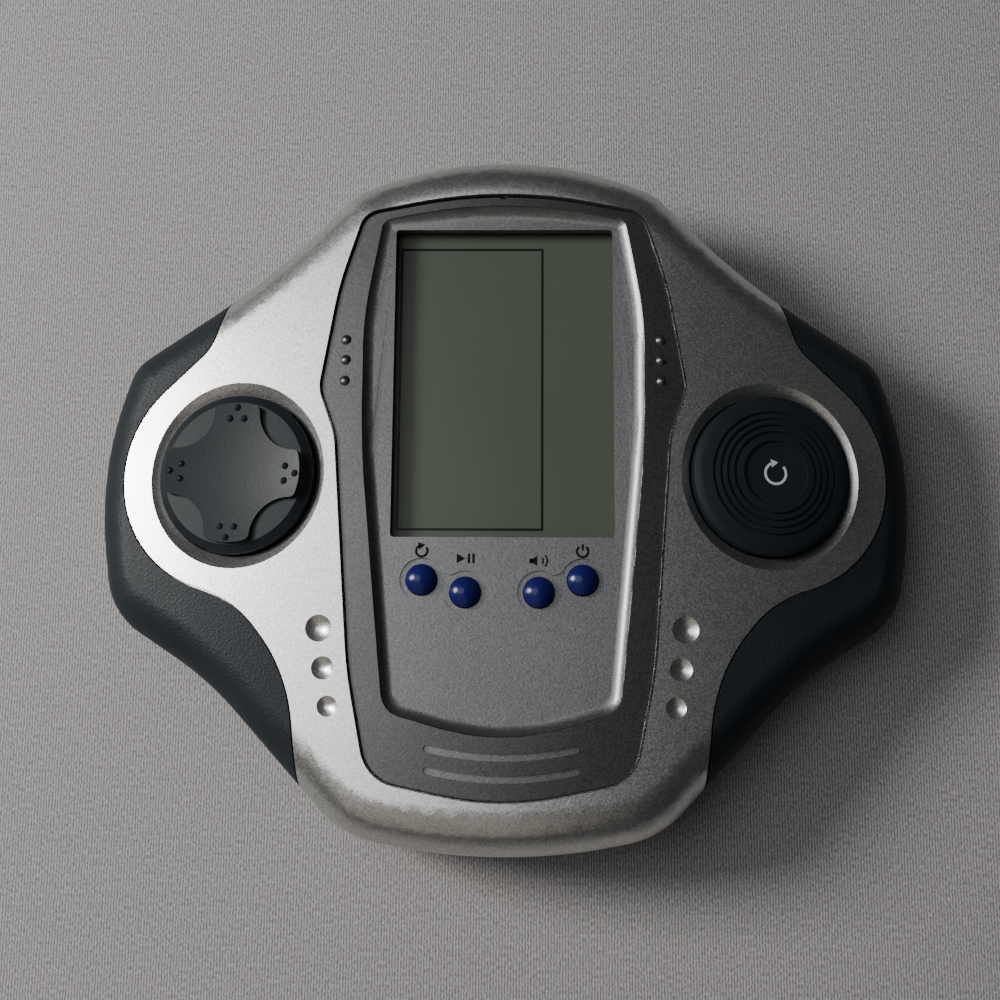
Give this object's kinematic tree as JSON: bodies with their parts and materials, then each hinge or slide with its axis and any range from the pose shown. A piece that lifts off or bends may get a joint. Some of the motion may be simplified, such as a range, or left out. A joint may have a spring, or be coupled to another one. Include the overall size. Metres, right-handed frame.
{
  "type": "handheld game console",
  "caption": "Handheld game console with a crowned case, side grips, a tall screen in an inset face plate, a rocking direction pad, a round push button and small domed keys.",
  "frame": {"origin": "middle of the case's outline, on its flat back", "axes": "+X across to the right as seen from the front, +Y towards the top end, +Z out of the face"},
  "size_m": [0.1496, 0.1277, 0.0287],
  "materials": {
    "front_silver": "silver paint with fine metal flake, satin",
    "rear_grey": "moulded grey, satin",
    "grip_blue": "dark blue-grey, fine leather grain",
    "face_grey": "mid-grey paint with fine flake, satin",
    "lens_clear": "clear flat window",
    "lcd_grey": "green-grey display",
    "holder_black": "moulded black",
    "rubber_pink": "striped conducting rubber",
    "board_green": "resin board, green coating",
    "chip_black": "black resin drop",
    "capacitor_sleeve": "dark sleeve",
    "steel": "bright steel",
    "sounder_brass": "thin brass disc",
    "cell_sleeve": "plain printed sleeve",
    "contact_steel": "nickel plated spring steel",
    "control_blue": "dark blue-grey moulded plastic, satin",
    "pivot_white": "slippery white plastic",
    "dome_rubber": "soft silicone rubber",
    "key_blue": "glossy deep blue"
  },
  "bodies": {
    "case": {"front_shell": "front_silver", "rear_shell": "rear_grey", "left_grip": "grip_blue", "right_grip": "grip_blue", "face_plate": "face_grey", "screen_lens": "lens_clear", "lcd_panel": "lcd_grey", "lcd_holder": "holder_black", "lcd_connectors": "rubber_pink", "main_board": "board_green", "control_chip": "chip_black", "board_capacitor": "capacitor_sleeve", "board_crystal": "steel", "dpad_board": "board_green", "rotate_board": "board_green", "board_screws": "steel", "case_screws": "steel", "sounder": "sounder_brass", "upper_battery": "cell_sleeve", "lower_battery": "cell_sleeve", "spring_contacts": "contact_steel", "plate_contacts": "contact_steel", "dpad_domes": "dome_rubber", "rotate_dome": "dome_rubber", "reset_dome": "dome_rubber", "start_dome": "dome_rubber", "sound_dome": "dome_rubber", "power_dome": "dome_rubber"},
    "dpad_pivot": {"dpad_pivot": "pivot_white"},
    "dpad_cap": {"dpad_cap": "control_blue"},
    "rotate_button": {"rotate_button": "control_blue"},
    "reset_button": {"reset_button": "key_blue"},
    "start_button": {"start_button": "key_blue"},
    "sound_button": {"sound_button": "key_blue"},
    "power_button": {"power_button": "key_blue"},
    "battery_door": {"battery_door": "rear_grey"}
  },
  "joints": [
    {"name": "dpad_rock_ns", "type": "hinge", "parent": "case", "child": "dpad_pivot", "pos_m": [-0.04711, 0.0021, 0.01928], "axis": [0.9841, 0, 0.1778], "range_deg": [-3, 3], "stiffness_Nm_per_rad": 0.5},
    {"name": "dpad_rock_ew", "type": "hinge", "parent": "dpad_pivot", "child": "dpad_cap", "pos_m": [-0.04711, 0.0021, 0.01928], "axis": [0, 1, 0], "range_deg": [-3, 3], "stiffness_Nm_per_rad": 0.5, "deforming": ["dpad_domes"]},
    {"name": "rotate_press", "type": "slide", "parent": "case", "child": "rotate_button", "axis": [-0.1778, 0, -0.9841], "range_m": [0, 0.001], "stiffness_N_per_m": 800, "springref_m": -0.0004, "deforming": ["rotate_dome"]},
    {"name": "reset_press", "type": "slide", "parent": "case", "child": "reset_button", "axis": [0, 0, -1], "range_m": [0, 0.0008], "stiffness_N_per_m": 600, "springref_m": -0.0004, "deforming": ["reset_dome"]},
    {"name": "start_press", "type": "slide", "parent": "case", "child": "start_button", "axis": [0, 0, -1], "range_m": [0, 0.0008], "stiffness_N_per_m": 600, "springref_m": -0.0004, "deforming": ["start_dome"]},
    {"name": "sound_press", "type": "slide", "parent": "case", "child": "sound_button", "axis": [0, 0, -1], "range_m": [0, 0.0008], "stiffness_N_per_m": 600, "springref_m": -0.0004, "deforming": ["sound_dome"]},
    {"name": "power_press", "type": "slide", "parent": "case", "child": "power_button", "axis": [0, 0, -1], "range_m": [0, 0.0008], "stiffness_N_per_m": 600, "springref_m": -0.0004, "deforming": ["power_dome"]},
    {"name": "battery_door_slide", "type": "slide", "parent": "case", "child": "battery_door", "axis": [0, -1, 0], "range_m": [0, 0.046]}
  ]
}
